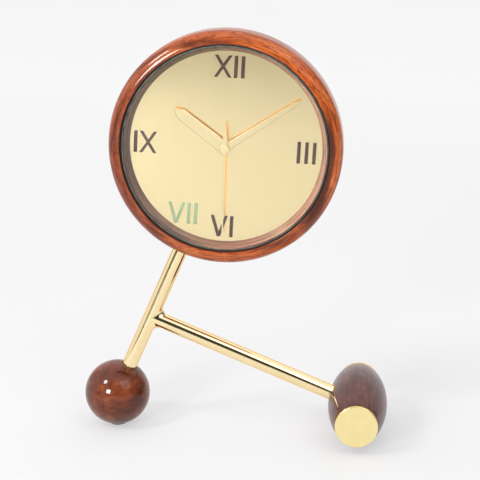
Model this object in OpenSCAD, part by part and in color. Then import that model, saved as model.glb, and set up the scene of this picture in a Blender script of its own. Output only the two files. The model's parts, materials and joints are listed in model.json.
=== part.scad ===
// Table clock: a round wooden head on a tee-shaped brass rod stand,
// with a wooden ball for one foot and a wooden barrel for the other.
// Front is -Y, up is +Z, the table is z = 0.

/* [Head] */
// Outside diameter of the wooden head
head_d = 200; // [160:1:240]
// Height of the head's centre above the table
head_height = 255; // [225:1:320]
// Width of the wooden face between the outside and the glass opening
face_w = 10.8; // [9:0.1:14]
// Rounding of the head's rear edge
rear_round = 8; // [4:0.5:10]
// Depth of the glass below the front edge of the head
glass_inset = 2.5; // [1:0.1:5]
// Thickness of the glass
glass_t = 3; // [2:0.1:4]
// Space for the hands between the dial and the glass
hand_space = 9.5; // [9.5:0.1:14]
// Width of the sloping inner bezel, seen from the front
bezel_w = 7; // [4:0.1:9]
// Wall left round the cavity behind the dial
head_wall = 21; // [18:0.5:26]
// Thickness of the back panel
panel_t = 3; // [2:0.1:4]

/* [Dial] */
// Turn of the dial about its centre, clockwise from the front
dial_turn = 3; // [-10:0.5:10]
// Thickness of the dial plate
dial_t = 1; // [0.6:0.1:1.5]
// Thickness of the board behind the dial
backing_t = 3; // [2:0.1:4]
// Distance of the numerals' middles from the dial's centre
numeral_r = 69; // [60:0.5:71]
// Height of a numeral
numeral_h = 18.6; // [12:0.1:20]
// Width of a numeral's stroke
stroke_w = 3; // [2:0.1:4]
// Thickness of a numeral
numeral_t = 0.6; // [0.4:0.1:1]

/* [Hands] */
// Hour shown
show_hour = 10; // [0:1:11]
// Minute shown
show_minute = 9; // [0:1:59]
// Second shown
show_second = 29.8; // [0:0.1:59]
// Length of the hour hand from the centre
hour_hand_l = 54.7; // [40:0.1:60]
// Width of the hour hand at its root
hour_hand_w = 10.5; // [6:0.1:12]
// Length of the minute hand from the centre
minute_hand_l = 77.2; // [60:0.1:79]
// Width of the minute hand at its root
minute_hand_w = 6; // [4:0.1:8]
// Length of the second hand from the centre
second_hand_l = 76.4; // [60:0.1:79]
// Length of the second hand's tail
second_tail_l = 21.4; // [12:0.1:30]

/* [Stand] */
// Diameter of both brass rods
rod_d = 13; // [11:0.1:16]
// Lean of the main rod from upright, in degrees
main_lean = 23.6; // [15:0.1:30]
// Fall of the branch rod from level, in degrees
branch_fall = 22.3; // [18:0.1:35]
// Distance along the main rod from the ball's centre to the branch
branch_rise = 79; // [65:1:95]
// Radius of the brazed fillet between the rods
fillet_r = 6.5; // [2:0.1:8]
// Depth that a rod's end sinks into the wood
rod_seat = 2.5; // [1:0.1:4]

/* [Feet] */
// Diameter of the ball foot
ball_d = 58; // [48:1:70]
// Diameter of the barrel foot at its middle
barrel_d = 52; // [44:1:60]
// Diameter of the barrel foot at its ends
barrel_end_d = 37.2; // [36.8:0.2:42]
// Length of the barrel foot's wood
barrel_l = 106; // [90:1:140]
// Diameter of the brass end caps
cap_d = 36.8; // [28:0.2:37.2]
// Thickness of a cap in front of the wood
cap_t = 3; // [1:0.1:4]
// Thickness of the felt pads
pad_t = 1.2; // [1:0.1:2.5]

/* [Movement] */
// Side of the square movement case
case_side = 56; // [56:1:60]
// Wall thickness of the movement case
case_wall = 1; // [0.8:0.1:1.2]
// Diameter of the battery
battery_d = 14.2; // [13.5:0.1:14.2]
// Length of the battery
battery_l = 50.5; // [49:0.1:50.5]

/* [Clearances] */
// Gap round a shaft in its bearing
bearing_gap = 0.06; // [0.03:0.01:0.1]
// Gap round a part that drops into a recess
seat_gap = 0.2; // [0.1:0.05:0.3]

/* [Hidden] */

$fn = 96;
EPS = 0.01;

// ---- movement depths, measured back from the movement's front face ----
cover_at = 13;
cover_t = 1.2;
knob_gap = 0.2;
knob_t = 1.5;
washer_t = 0.8;
movement_depth = cover_at + cover_t;

// ---- head levels along its own axis: z to the front, 0 in the plane of the rods ----
rear_inset = 0.3;
head_depth = glass_inset + glass_t + hand_space + dial_t + backing_t + washer_t
           + movement_depth + knob_gap + knob_t + rear_inset;
z_front = head_depth / 2;
z_glass = z_front - glass_inset - glass_t;
z_dial = z_glass - hand_space;
z_backing = z_dial - dial_t - backing_t;
z_move = z_backing - washer_t;
z_rear = -head_depth / 2;
z_panel = z_rear + panel_t + seat_gap;

head_r = head_d / 2;
opening_r = head_r - face_w;
gasket_w = 1.3;
glass_r = opening_r - seat_gap - gasket_w;
bezel_out_r = opening_r - seat_gap;
bezel_in_r = opening_r - bezel_w;
cavity_r = head_r - head_wall;
panel_r = opening_r - seat_gap;
panel_hole = case_side + 4;
screw_ring_r = (cavity_r + opening_r) / 2;

// ---- stand geometry in the plane y = 0 ----
ball_r = ball_d / 2;
barrel_r = barrel_d / 2;
rod_r = rod_d / 2;
main_dir = [sin(main_lean), 0, cos(main_lean)];
branch_dir = [cos(branch_fall), 0, -sin(branch_fall)];
main_span = (head_height - ball_r) / cos(main_lean);
tee_height = ball_r + branch_rise * cos(main_lean);
branch_span = (tee_height - barrel_r) / sin(branch_fall);
barrel_from_ball = branch_rise * sin(main_lean) + branch_span * cos(branch_fall);
ball_x = -(barrel_from_ball + barrel_r - ball_r) / 2;
ball_centre = [ball_x, 0, ball_r];
head_centre = ball_centre + main_span * main_dir;
tee_centre = ball_centre + branch_rise * main_dir;
barrel_centre = [ball_x + barrel_from_ball, 0, barrel_r];

// ---- studs and inserts that join the rods to the wood ----
stud_r = 4;
insert_r = 5.5;
head_insert_l = face_w - rod_seat - 1.3;
foot_insert_l = 14;
stud_in_rod = 14;

// ---- barrel outline: one long arc from end to end ----
barrel_end_r = barrel_end_d / 2;
barrel_sag = barrel_r - barrel_end_r;
barrel_arc_r = (pow(barrel_l / 2, 2) + pow(barrel_sag, 2)) / (2 * barrel_sag);
barrel_bands = 20;
cap_r = cap_d / 2;
cap_sunk = 0.5;
cap_spigot_r = 5;
cap_spigot_l = 8;

// ---- train: tooth counts, modules and places, x right and y up from the centre ----
rotor_t = 8;
step_t = 60;
step_pinion_t = 8;
second_t = 32;
second_pinion_t = 8;
third_t = 60;
third_pinion_t = 8;
centre_t = 64;
cannon_t = 12;
motion_t = 36;
motion_pinion_t = 10;
hour_t = 40;
setting_t = 12;

rotor_mod = 0.25;
step_mod = 0.42;
cannon_mod = 0.4;
centre_mod = 0.3;
motion_dist = (cannon_t + motion_t) * cannon_mod / 2;
hour_mod = 2 * motion_dist / (motion_pinion_t + hour_t);
third_dist = (centre_t + third_pinion_t) * centre_mod / 2;
third_mod = 2 * third_dist / (third_t + second_pinion_t);
step_dist = (second_t + step_pinion_t) * step_mod / 2;
rotor_dist = (step_t + rotor_t) * rotor_mod / 2;

third_dir = 60;
step_dir = 120;
rotor_dir = 150;
motion_dir = 180;
setting_dir = 195;
third_pos = polar(third_dist, third_dir);
step_pos = polar(step_dist, step_dir);
rotor_pos = step_pos + polar(rotor_dist, rotor_dir);
motion_pos = polar(motion_dist, motion_dir);
setting_pos = motion_pos + polar(motion_dist, setting_dir);

// ---- shaft radii, each inside the next ----
arbor_r = 0.5;
minute_pipe_r = 1.5;
hour_pipe_r = 2.5;
bush_r = 4;
post_r = 0.8;
step_post_r = 0.4;
rotor_shaft_r = 0.35;
setting_shaft_r = 1;

// ---- heights above the dial of what stands on it ----
hour_hand_z = z_dial + 4.2;
minute_hand_z = z_dial + 6;
second_hand_z = z_dial + 7.6;
hand_t = 0.5;

// ---- movement plan ----
case_half = case_side / 2;
inner_half = case_half - case_wall;
bay_h = battery_d + 0.5;
bay_top = -inner_half + bay_h;
bay_wall_top = bay_top + case_wall;
battery_y = -inner_half + bay_h / 2;
battery_m = case_wall + 0.2 + battery_d / 2;
contact_t = 0.4;
bridge_at = 9.9;
bridge_t = 0.6;
bridge_posts = [[13, -7.2], [17.5, 14.5], [-20, 12.5]];
bridge_post_r = 1.6;
stator_at = 10.9;
stator_t = 1;
coil_y = 21;
coil_mid_x = -11.5;
coil_l = 14;
coil_r = 2.6;
core_half_l = 12.5;
core_w = 4;
magnet_r = 3.2;
board_at = 11.6;
board_t = 0.8;

// ---- colours ----
WOOD = [0.42, 0.18, 0.1];
INNER_WOOD = [0.62, 0.4, 0.3];
BARREL_WOOD = [0.4, 0.27, 0.25];
BRASS = [0.93, 0.78, 0.5];
DARK = [0.28, 0.15, 0.12];
GREEN = [0.7, 0.78, 0.6];
BLACK = [0.08, 0.08, 0.08];
STEEL = [0.75, 0.75, 0.77];
COPPER = [0.75, 0.4, 0.2];
GLASS = [0.8, 0.9, 0.88, 0.3];
BOARD = [0.6, 0.5, 0.35];
FELT = [0.1, 0.09, 0.09];
GEAR = [0.9, 0.9, 0.86];

function polar(r, a) = [r * cos(a), r * sin(a)];

// Puts children in the head's frame: x right, y up, z out of the dial.
module in_head() {
    translate(head_centre)
        rotate([90, 0, 0])
            children();
}

// Puts children in the movement's frame, at a depth behind its front face.
module in_movement(depth = 0) {
    in_head()
        translate([0, 0, z_move - depth])
            children();
}

// Points children's z axis along a direction in the plane y = 0.
module along(start, lean) {
    translate(start)
        rotate([0, lean, 0])
            children();
}

module ring(outer, inner, height) {
    difference() {
        cylinder(r = outer, h = height);
        translate([0, 0, -1])
            cylinder(r = inner, h = height + 2);
    }
}

module rounded_square(side, corner) {
    inset = side / 2 - corner;
    square([side, 2 * inset], center = true);
    square([2 * inset, side], center = true);
    for (x = [-inset, inset], y = [-inset, inset])
        translate([x, y])
            circle(r = corner, $fn = 32);
}

// ---------------------------------------------------------------- head

module case_profile() {
    front_round = face_w;
    difference() {
        union() {
            translate([cavity_r, z_rear])
                square([head_wall - rear_round, head_depth - front_round]);
            translate([cavity_r, z_rear + rear_round])
                square([head_wall, head_depth - front_round - rear_round]);
            translate([head_r - rear_round, z_rear + rear_round])
                circle(r = rear_round);
            intersection() {
                translate([head_r - front_round, z_front - front_round])
                    circle(r = front_round);
                translate([opening_r, z_front - front_round - 1])
                    square([face_w + 1, front_round + 2]);
            }
        }
        // recess for the dial, bezel and glass
        translate([cavity_r - 1, z_backing])
            square([opening_r - cavity_r + 1, head_depth]);
        // rebate for the back panel
        translate([cavity_r - 1, z_rear - 1])
            square([opening_r - cavity_r + 1, z_panel - z_rear + 1]);
    }
}

// The rod's seat and the insert's hole, cut along the rod's own line.
module head_joint_cut() {
    reach = main_span - head_r;
    along(ball_centre, main_lean) {
        translate([0, 0, reach + rod_seat - 40])
            cylinder(r = rod_r + 0.05, h = 40);
        translate([0, 0, reach])
            cylinder(r = insert_r, h = rod_seat + head_insert_l);
    }
}

module case_ring() {
    color(WOOD)
        difference() {
            in_head()
                difference() {
                    rotate_extrude($fn = 180)
                        case_profile();
                    back_screw_holes(z_panel - 1, 11);
                }
            head_joint_cut();
        }
}

module bezel_ring() {
    height = z_glass - z_dial;
    color(INNER_WOOD)
        in_head()
            translate([0, 0, z_dial])
                difference() {
                    cylinder(r = bezel_out_r, h = height, $fn = 180);
                    translate([0, 0, -EPS])
                        cylinder(r1 = bezel_in_r, r2 = glass_r - 1.6, h = height + 2 * EPS, $fn = 180);
                }
}

module glass() {
    bevel = 1.5;
    color(GLASS)
        in_head()
            translate([0, 0, z_glass]) {
                cylinder(r = glass_r, h = glass_t - bevel / 2, $fn = 180);
                translate([0, 0, glass_t - bevel / 2])
                    cylinder(r1 = glass_r, r2 = glass_r - bevel, h = bevel / 2, $fn = 180);
            }
}

module glass_gasket() {
    color(BLACK)
        in_head()
            translate([0, 0, z_glass])
                ring(glass_r + gasket_w, glass_r, glass_t, $fn = 180);
}

module dial_plate() {
    color(BRASS)
        in_head()
            translate([0, 0, z_dial - dial_t])
                ring(bezel_out_r, bush_r + seat_gap, dial_t, $fn = 180);
}

module dial_backing() {
    color([0.5, 0.38, 0.25])
        in_head()
            translate([0, 0, z_backing])
                ring(bezel_out_r, bush_r + seat_gap, backing_t, $fn = 180);
}

// ---- numerals: each stroke drawn about the numeral's own middle ----

letter_w = 15;
bar_gap = 3;
letter_gap = 1.8;
slant_half = 0.48 * stroke_w;

module bar_stroke(x) {
    translate([x, 0])
        square([stroke_w, numeral_h], center = true);
}

// One slanting stroke, cut level at the cap height.
module slant(x_low, x_high) {
    low = -numeral_h / 2;
    high = numeral_h / 2;
    polygon([
        [x_low - slant_half, low], [x_low + slant_half, low],
        [x_high + slant_half, high], [x_high - slant_half, high]
    ]);
}

module letter_x(x) {
    reach = letter_w / 2 - slant_half;
    translate([x, 0]) {
        slant(-reach, reach);
        slant(reach, -reach);
    }
}

module letter_v(x) {
    reach = letter_w / 2 - slant_half;
    translate([x, 0]) {
        slant(0, -reach);
        slant(0, reach);
    }
}

// Sets children upright at an hour's place on the turned dial.
module at_hour(hour) {
    in_head()
        rotate([0, 0, -dial_turn])
            translate([numeral_r * sin(30 * hour), numeral_r * cos(30 * hour), z_dial])
                linear_extrude(numeral_t)
                    children();
}

bar_pitch = stroke_w + bar_gap;
pair_w = 2 * stroke_w + bar_gap;
wide_w = letter_w + letter_gap + pair_w;
single_w = letter_w + letter_gap + stroke_w;

module numeral_xii() {
    color(DARK)
        at_hour(12) {
            letter_x(-wide_w / 2 + letter_w / 2);
            for (i = [0, 1])
                bar_stroke(wide_w / 2 - stroke_w / 2 - i * bar_pitch);
        }
}

module numeral_iii() {
    color(DARK)
        at_hour(3)
            for (i = [-1, 0, 1])
                bar_stroke(i * (bar_pitch + 0.6));
}

module numeral_vi() {
    color(DARK)
        at_hour(6) {
            letter_v(-single_w / 2 + letter_w / 2);
            bar_stroke(single_w / 2 - stroke_w / 2);
        }
}

module numeral_vii() {
    color(GREEN)
        at_hour(7) {
            letter_v(-wide_w / 2 + letter_w / 2);
            for (i = [0, 1])
                bar_stroke(wide_w / 2 - stroke_w / 2 - i * bar_pitch);
        }
}

module numeral_ix() {
    color(DARK)
        at_hour(9) {
            bar_stroke(-single_w / 2 + stroke_w / 2);
            letter_x(single_w / 2 - letter_w / 2);
        }
}

// ---- back panel and its screws ----

back_screw_r = 1.5;
back_screw_head_r = 3;
back_screw_l = 12;

module at_back_screws() {
    for (a = [45 : 90 : 315])
        rotate([0, 0, a])
            translate([screw_ring_r, 0, 0])
                children();
}

module back_screw_holes(top, depth) {
    at_back_screws()
        translate([0, 0, top])
            cylinder(r = back_screw_r, h = depth, $fn = 32);
}

module back_panel() {
    color(WOOD)
        in_head()
            difference() {
                translate([0, 0, z_rear + seat_gap])
                    cylinder(r = panel_r, h = panel_t, $fn = 180);
                translate([0, 0, z_rear - 1])
                    linear_extrude(panel_t + 2)
                        rounded_square(panel_hole, 4);
                at_back_screws()
                    translate([0, 0, z_rear - 1])
                        cylinder(r = back_screw_r + 0.1, h = panel_t + 2, $fn = 32);
                at_back_screws()
                    translate([0, 0, z_rear + seat_gap - EPS])
                        cylinder(r1 = back_screw_head_r + 0.1, r2 = back_screw_r, h = 1.7, $fn = 32);
            }
}

module back_screws() {
    color(BRASS)
        in_head()
            at_back_screws()
                difference() {
                    translate([0, 0, z_rear + seat_gap]) {
                        cylinder(r1 = back_screw_head_r, r2 = back_screw_r - 0.1, h = 1.6, $fn = 32);
                        cylinder(r = back_screw_r - 0.05, h = back_screw_l, $fn = 32);
                    }
                    for (a = [0, 90])
                        rotate([0, 0, a])
                            translate([-1.8, -0.3, z_rear])
                                cube([3.6, 0.6, 0.9]);
                }
}

// ---------------------------------------------------------------- stand

module tapped_end(at) {
    translate([0, 0, at])
        cylinder(r = stud_r, h = stud_in_rod + 1, $fn = 48);
}

module main_rod() {
    low = ball_r - rod_seat;
    high = main_span - head_r + rod_seat;
    color(BRASS)
        along(ball_centre, main_lean)
            difference() {
                translate([0, 0, low])
                    cylinder(r = rod_r, h = high - low);
                tapped_end(low - 1);
                tapped_end(high - stud_in_rod);
            }
}

// Where the branch rod's line goes into the barrel's side.
branch_end = branch_span - barrel_r + rod_seat;

module branch_rod() {
    color(BRASS)
        difference() {
            along(tee_centre, 90 + branch_fall)
                difference() {
                    cylinder(r = rod_r, h = branch_end);
                    tapped_end(branch_end - stud_in_rod);
                }
            along(ball_centre, main_lean)
                cylinder(r = rod_r, h = main_span);
        }
}

// The fillet follows a ball rolled round the corner between two equal rods.
// At each turn t round the rods its section has a straight side on each rod
// and a hollow side, an arc about the rolling ball's centre.
fillet_turns = 16;
fillet_arcs = 4;
fillet_from = 8;
across = [0, 1, 0];

function unit(v) = v / norm(v);
// The part of b that is square to a.
function square_to(a, b) = unit(b - (a * b) * a);
// A point at distance r from both rods' axes, on the side that u points to.
function on_corner(u, t, r) =
    tee_centre + r * cos(t) * across + r * sin(t) / norm(cross(u, branch_dir)) * (u + branch_dir);
// The outward normal of the rod along a, at turn t, facing the rod along b.
function rod_normal(a, b, t) = sin(t) * square_to(a, b) + cos(t) * across;
function arc_between(a, b, s) = (sin((1 - s) * acos(a * b)) * a + sin(s * acos(a * b)) * b)
                              / sin(acos(a * b));
function fillet_section(u, t) = [
    on_corner(u, t, rod_r),
    for (k = [0 : fillet_arcs])
        on_corner(u, t, rod_r + fillet_r)
            - fillet_r * arc_between(rod_normal(u, branch_dir, t), rod_normal(branch_dir, u, t),
                                     k / fillet_arcs)
];

module fillet_half(side) {
    count = fillet_arcs + 2;
    turn = (180 - 2 * fillet_from) / fillet_turns;
    points = [
        for (i = [0 : fillet_turns])
            each fillet_section(side * main_dir, fillet_from + turn * i)
    ];
    near_end = [for (j = [0 : count - 1]) j];
    far_end = [for (j = [count - 1 : -1 : 0]) fillet_turns * count + j];
    sides = [
        for (i = [0 : fillet_turns - 1], j = [0 : count - 1])
            let (a = i * count + j, b = i * count + (j + 1) % count)
                each [[b, a, a + count], [b, a + count, b + count]]
    ];
    faces = concat([near_end], sides, [far_end]);
    flipped = [for (f = faces) [for (j = [len(f) - 1 : -1 : 0]) f[j]]];
    polyhedron(points = points, faces = side > 0 ? flipped : faces);
}

module braze_fillet() {
    color(BRASS)
        for (side = [-1, 1])
            fillet_half(side);
}

// The three places where a rod's stud goes into the wood: the start of the
// stud, the lean of its axis and the length of the insert round it.
module stud_joint(which, stud) {
    start = [
        ball_centre + (main_span - head_r + rod_seat) * main_dir,
        ball_centre + (ball_r - rod_seat) * main_dir,
        tee_centre + branch_end * branch_dir
    ][which];
    lean = [main_lean, main_lean + 180, 90 + branch_fall][which];
    insert_l = [head_insert_l, foot_insert_l, foot_insert_l][which];
    along(start, lean)
        if (stud)
            translate([0, 0, -stud_in_rod + 0.5])
                cylinder(r = stud_r - 0.05, h = stud_in_rod + insert_l - 1, $fn = 48);
        else
            ring(insert_r - 0.05, stud_r, insert_l - 0.2, $fn = 48);
}

module rod_studs() {
    color(STEEL)
        for (which = [0 : 2])
            stud_joint(which, true);
}

module wood_inserts() {
    color(BRASS)
        for (which = [0 : 2])
            stud_joint(which, false);
}

module ball_foot() {
    color(WOOD)
        difference() {
            translate(ball_centre)
                sphere(r = ball_r, $fn = 128);
            translate([ball_x, 0, pad_t - ball_r])
                cube(2 * ball_r, center = true);
            along(ball_centre, main_lean) {
                translate([0, 0, ball_r - rod_seat])
                    cylinder(r = rod_r + 0.05, h = ball_r);
                translate([0, 0, ball_r - rod_seat - foot_insert_l])
                    cylinder(r = insert_r, h = ball_r);
            }
        }
}

ball_pad_r = sqrt(pow(ball_r, 2) - pow(ball_r - pad_t, 2)) - 0.4;

module ball_pad() {
    color(FELT)
        translate([ball_x, 0, 0])
            cylinder(r = ball_pad_r, h = pad_t, $fn = 64);
}

// Radius of the barrel at a distance along it from its middle.
function barrel_radius(y) = barrel_r - barrel_arc_r + sqrt(pow(barrel_arc_r, 2) - pow(y, 2));

module barrel_half_outline() {
    polygon([
        [0, -barrel_l / 2],
        for (i = [0 : barrel_bands])
            let (y = (i / barrel_bands - 0.5) * barrel_l) [barrel_radius(y), y],
        [0, barrel_l / 2]
    ]);
}

module barrel_foot() {
    color(BARREL_WOOD)
        difference() {
            translate(barrel_centre)
                rotate([90, 0, 0])
                    rotate_extrude($fn = 128)
                        barrel_half_outline();
            translate([barrel_centre[0], 0, pad_t - barrel_r])
                cube([2 * barrel_r, barrel_l + 2, 2 * barrel_r], center = true);
            along(tee_centre, 90 + branch_fall) {
                translate([0, 0, branch_end - 10])
                    cylinder(r = rod_r + 0.05, h = 10);
                translate([0, 0, branch_end - 1])
                    cylinder(r = insert_r, h = foot_insert_l + 1);
            }
            for (side = [0, 180])
                translate(barrel_centre)
                    rotate([90, 0, side])
                        translate([0, 0, barrel_l / 2 - cap_sunk]) {
                            cylinder(r = cap_r + 0.05, h = 5);
                            translate([0, 0, -cap_spigot_l])
                                cylinder(r = cap_spigot_r, h = cap_spigot_l + 1, $fn = 48);
                        }
        }
}

// The flat under the barrel is widest at its middle, so the pad is a strip
// with round ends that stays inside it.
flat_half_w = sqrt(pow(barrel_r, 2) - pow(barrel_r - pad_t, 2));
flat_half_l = sqrt(pow(barrel_arc_r, 2) - pow(barrel_arc_r - pad_t, 2));
pad_end_r = 0.65 * flat_half_w;
pad_end_y = 0.78 * flat_half_l - pad_end_r;

module barrel_pad() {
    color(FELT)
        translate([barrel_centre[0], 0, 0])
            linear_extrude(pad_t) {
                square([2 * pad_end_r, 2 * pad_end_y], center = true);
                for (y = [-pad_end_y, pad_end_y])
                    translate([0, y])
                        circle(r = pad_end_r, $fn = 64);
            }
}

module end_cap() {
    bevel = 0.5;
    cylinder(r = cap_r, h = cap_sunk + cap_t - bevel);
    translate([0, 0, cap_sunk + cap_t - bevel])
        cylinder(r1 = cap_r, r2 = cap_r - bevel, h = bevel);
    translate([0, 0, 0.2 - cap_spigot_l])
        cylinder(r = cap_spigot_r - 0.05, h = cap_spigot_l, $fn = 48);
}

module front_cap() {
    color(BRASS)
        translate(barrel_centre)
            rotate([90, 0, 0])
                translate([0, 0, barrel_l / 2 - cap_sunk])
                    end_cap();
}

module rear_cap() {
    color(BRASS)
        translate(barrel_centre)
            rotate([90, 0, 180])
                translate([0, 0, barrel_l / 2 - cap_sunk])
                    end_cap();
}

// ---------------------------------------------------------------- movement, fixed parts

// A blind bearing in the front wall for an arbor at a place.
module front_bearing(pos, r) {
    translate([pos[0], pos[1], -case_wall - EPS])
        cylinder(r = r + bearing_gap, h = 0.6, $fn = 32);
}

module movement_case() {
    color(BLACK)
        in_movement() {
            difference() {
                translate([0, 0, -cover_at])
                    linear_extrude(cover_at)
                        rounded_square(case_side, 3);
                // room for the train
                translate([-inner_half, bay_wall_top, -cover_at - 1])
                    cube([2 * inner_half, inner_half - bay_wall_top, cover_at + 1 - case_wall]);
                // battery bay
                translate([-inner_half, -inner_half, -cover_at - 1])
                    cube([2 * inner_half, bay_h, cover_at + 1 - case_wall]);
                // slots for the two contacts to reach the circuit board
                for (x = [-inner_half, inner_half - 4])
                    translate([x, bay_top - 1, -cover_at - 1])
                        cube([4, case_wall + 2, 2.4]);
                translate([0, 0, -case_wall - 1])
                    cylinder(r = bush_r, h = case_wall + 2);
                front_bearing(third_pos, arbor_r);
                front_bearing(rotor_pos, rotor_shaft_r);
                front_bearing(setting_pos, setting_shaft_r);
            }
            translate([motion_pos[0], motion_pos[1], -4.5])
                cylinder(r = post_r, h = 4.5 - case_wall + EPS, $fn = 32);
            for (p = bridge_posts)
                translate([p[0], p[1], -bridge_at])
                    cylinder(r = bridge_post_r, h = bridge_at - case_wall + EPS, $fn = 32);
        }
}

module movement_cover() {
    color(BLACK)
        in_movement(cover_at + cover_t)
            difference() {
                intersection() {
                    linear_extrude(cover_t)
                        rounded_square(case_side, 3);
                    translate([-case_half, bay_top, -1])
                        cube([case_side, case_side, cover_t + 2]);
                }
                translate([setting_pos[0], setting_pos[1], -1])
                    cylinder(r = setting_shaft_r + bearing_gap, h = cover_t + 2, $fn = 32);
                translate([rotor_pos[0], rotor_pos[1], cover_t - 0.8])
                    cylinder(r = rotor_shaft_r + bearing_gap, h = 1, $fn = 32);
            }
}

module train_bridge() {
    color(STEEL)
        in_movement(bridge_at + bridge_t) {
            difference() {
                linear_extrude(bridge_t) {
                    polygon([
                        [13.8, -9.8], [20, 14], [17, 17.2], [-20, 15.2], [-22.6, 12], [-21, 10]
                    ]);
                    for (p = bridge_posts)
                        translate(p)
                            circle(r = 2.6, $fn = 32);
                }
                translate([0, 0, -1])
                    cylinder(r = arbor_r + bearing_gap, h = 3, $fn = 32);
                translate([third_pos[0], third_pos[1], -1])
                    cylinder(r = arbor_r + bearing_gap, h = 3, $fn = 32);
                translate([rotor_pos[0], rotor_pos[1], -1])
                    cylinder(r = 1.7, h = 3, $fn = 32);
            }
            translate([step_pos[0], step_pos[1], bridge_t - EPS])
                cylinder(r = step_post_r, h = 2.9, $fn = 32);
        }
}

bush_top = z_dial + 3;

module threaded_bush() {
    color(BRASS)
        in_head()
            translate([0, 0, z_move - case_wall])
                difference() {
                    cylinder(r = bush_r, h = bush_top - z_move + case_wall);
                    translate([0, 0, -1])
                        cylinder(r = hour_pipe_r + bearing_gap, h = 30);
                }
}

module bush_washer() {
    color(BRASS)
        in_head()
            translate([0, 0, z_dial])
                ring(6.8, bush_r + 0.1, 0.5);
}

module bush_nut() {
    color(BRASS)
        in_head()
            translate([0, 0, z_dial + 0.5])
                difference() {
                    cylinder(r = 6, h = 2, $fn = 6);
                    translate([0, 0, -1])
                        cylinder(r = bush_r, h = 4);
                }
}

module rubber_washer() {
    color(BLACK)
        in_head()
            translate([0, 0, z_move])
                ring(14, bush_r + 0.1, washer_t);
}

module battery() {
    nub_l = 1;
    color([0.75, 0.5, 0.2])
        in_movement(battery_m)
            translate([-battery_l / 2, battery_y, 0])
                rotate([0, 90, 0]) {
                    cylinder(r = battery_d / 2, h = battery_l - nub_l);
                    translate([0, 0, battery_l - nub_l])
                        cylinder(r = 2.7, h = nub_l, $fn = 48);
                }
}

// A leaf at one end of the bay with a tail that runs up to the board.
module contact(side) {
    x = battery_l / 2 + 0.05;
    tail_m = board_at + board_t;
    color(STEEL)
        in_movement()
            mirror([side < 0 ? 1 : 0, 0, 0]) {
                translate([x, battery_y - 5, -tail_m - contact_t])
                    cube([contact_t, 10, tail_m - 3]);
                translate([x, battery_y + 4, -tail_m - contact_t])
                    cube([contact_t, bay_wall_top - battery_y - 1, contact_t]);
            }
}

module contact_positive() {
    contact(1);
}

module contact_negative() {
    contact(-1);
}

module circuit_board() {
    right = inner_half - 0.4;
    low = bay_wall_top + 0.4;
    color(BOARD)
        in_movement(board_at + board_t)
            linear_extrude(board_t)
                polygon([
                    [-right, low], [right, low], [right, 24], [21.5, 24],
                    [21.5, low + 5], [-right, low + 5]
                ]);
}

module chip() {
    color(BLACK)
        in_movement(board_at)
            translate([0, bay_wall_top + 3, 0])
                cylinder(r = 1.8, h = 0.9, $fn = 48);
}

module quartz_crystal() {
    can_r = 1;
    color(STEEL)
        in_movement(board_at - can_r - 0.05)
            translate([24, 8, 0])
                rotate([-90, 0, 0])
                    cylinder(r = can_r, h = 6, $fn = 48);
}

module stator() {
    left = coil_mid_x - core_half_l;
    right = coil_mid_x + core_half_l;
    color(STEEL)
        in_movement(stator_at + stator_t)
            difference() {
                linear_extrude(stator_t) {
                    translate([left, rotor_pos[1] - 4.6])
                        square([right - left, 9.2]);
                    for (x = [left, right - 4])
                        translate([x, rotor_pos[1]])
                            square([4, coil_y + core_w / 2 - rotor_pos[1]]);
                }
                translate([rotor_pos[0], rotor_pos[1], -1])
                    cylinder(r = magnet_r + 0.4, h = stator_t + 2, $fn = 64);
            }
}

module coil_core() {
    color(STEEL)
        in_movement(stator_at)
            translate([coil_mid_x - core_half_l, coil_y - core_w / 2, 0])
                cube([2 * core_half_l, core_w, 1]);
}

module coil_winding() {
    color(COPPER)
        in_movement(stator_at - 0.5)
            translate([coil_mid_x - coil_l / 2, coil_y, 0])
                rotate([0, 90, 0])
                    difference() {
                        cylinder(r = coil_r, h = coil_l);
                        translate([-0.6, -core_w / 2 - 0.1, -1])
                            cube([1.2, core_w + 0.2, coil_l + 2]);
                    }
}

// ---------------------------------------------------------------- movement, wheels

// A wheel outline with straight-flanked teeth, one of them centred on phase.
module toothed(teeth, mod, phase) {
    pitch_r = teeth * mod / 2;
    tip_r = pitch_r + 0.75 * mod;
    root_r = pitch_r - 0.95 * mod;
    step = 360 / teeth;
    polygon([
        for (i = [0 : teeth - 1], k = [[-0.27, 0], [-0.1, 1], [0.1, 1], [0.27, 0]])
            polar(k[1] == 1 ? tip_r : root_r, phase + step * (i + k[0]))
    ]);
}

// The phase that sets a tooth on the line towards the mating wheel.
function tooth_towards(dir) = dir;
// The phase that sets a gap on the line back to the mating wheel.
function gap_towards(dir, teeth) = dir + 180 / teeth;

module wheel(teeth, mod, phase, from, to, bore = 0) {
    translate([0, 0, -to])
        linear_extrude(to - from)
            difference() {
                toothed(teeth, mod, phase);
                if (bore > 0)
                    circle(r = bore, $fn = 48);
            }
}

module arbor(r, from, to) {
    translate([0, 0, -to])
        cylinder(r = r, h = to - from, $fn = 32);
}

rotor_wheel_at = 8.8;
step_pinion_at = 7.3;
second_wheel_at = 7.4;
second_pinion_at = 6;
third_wheel_at = 6.1;
centre_wheel_at = 4.7;
cannon_at = 3;
hour_wheel_at = 1.5;

module rotor_magnet() {
    color(STEEL)
        in_movement()
            translate([rotor_pos[0], rotor_pos[1], -12.6])
                ring(magnet_r, rotor_shaft_r, 1.9, $fn = 64);
}

module rotor_pinion() {
    color(GEAR)
        in_movement()
            translate(rotor_pos) {
                wheel(rotor_t, rotor_mod, gap_towards(rotor_dir + 180, rotor_t),
                      rotor_wheel_at - 0.1, rotor_wheel_at + 0.9);
                arbor(rotor_shaft_r, case_wall - 0.4, cover_at + 0.6);
            }
}

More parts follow.
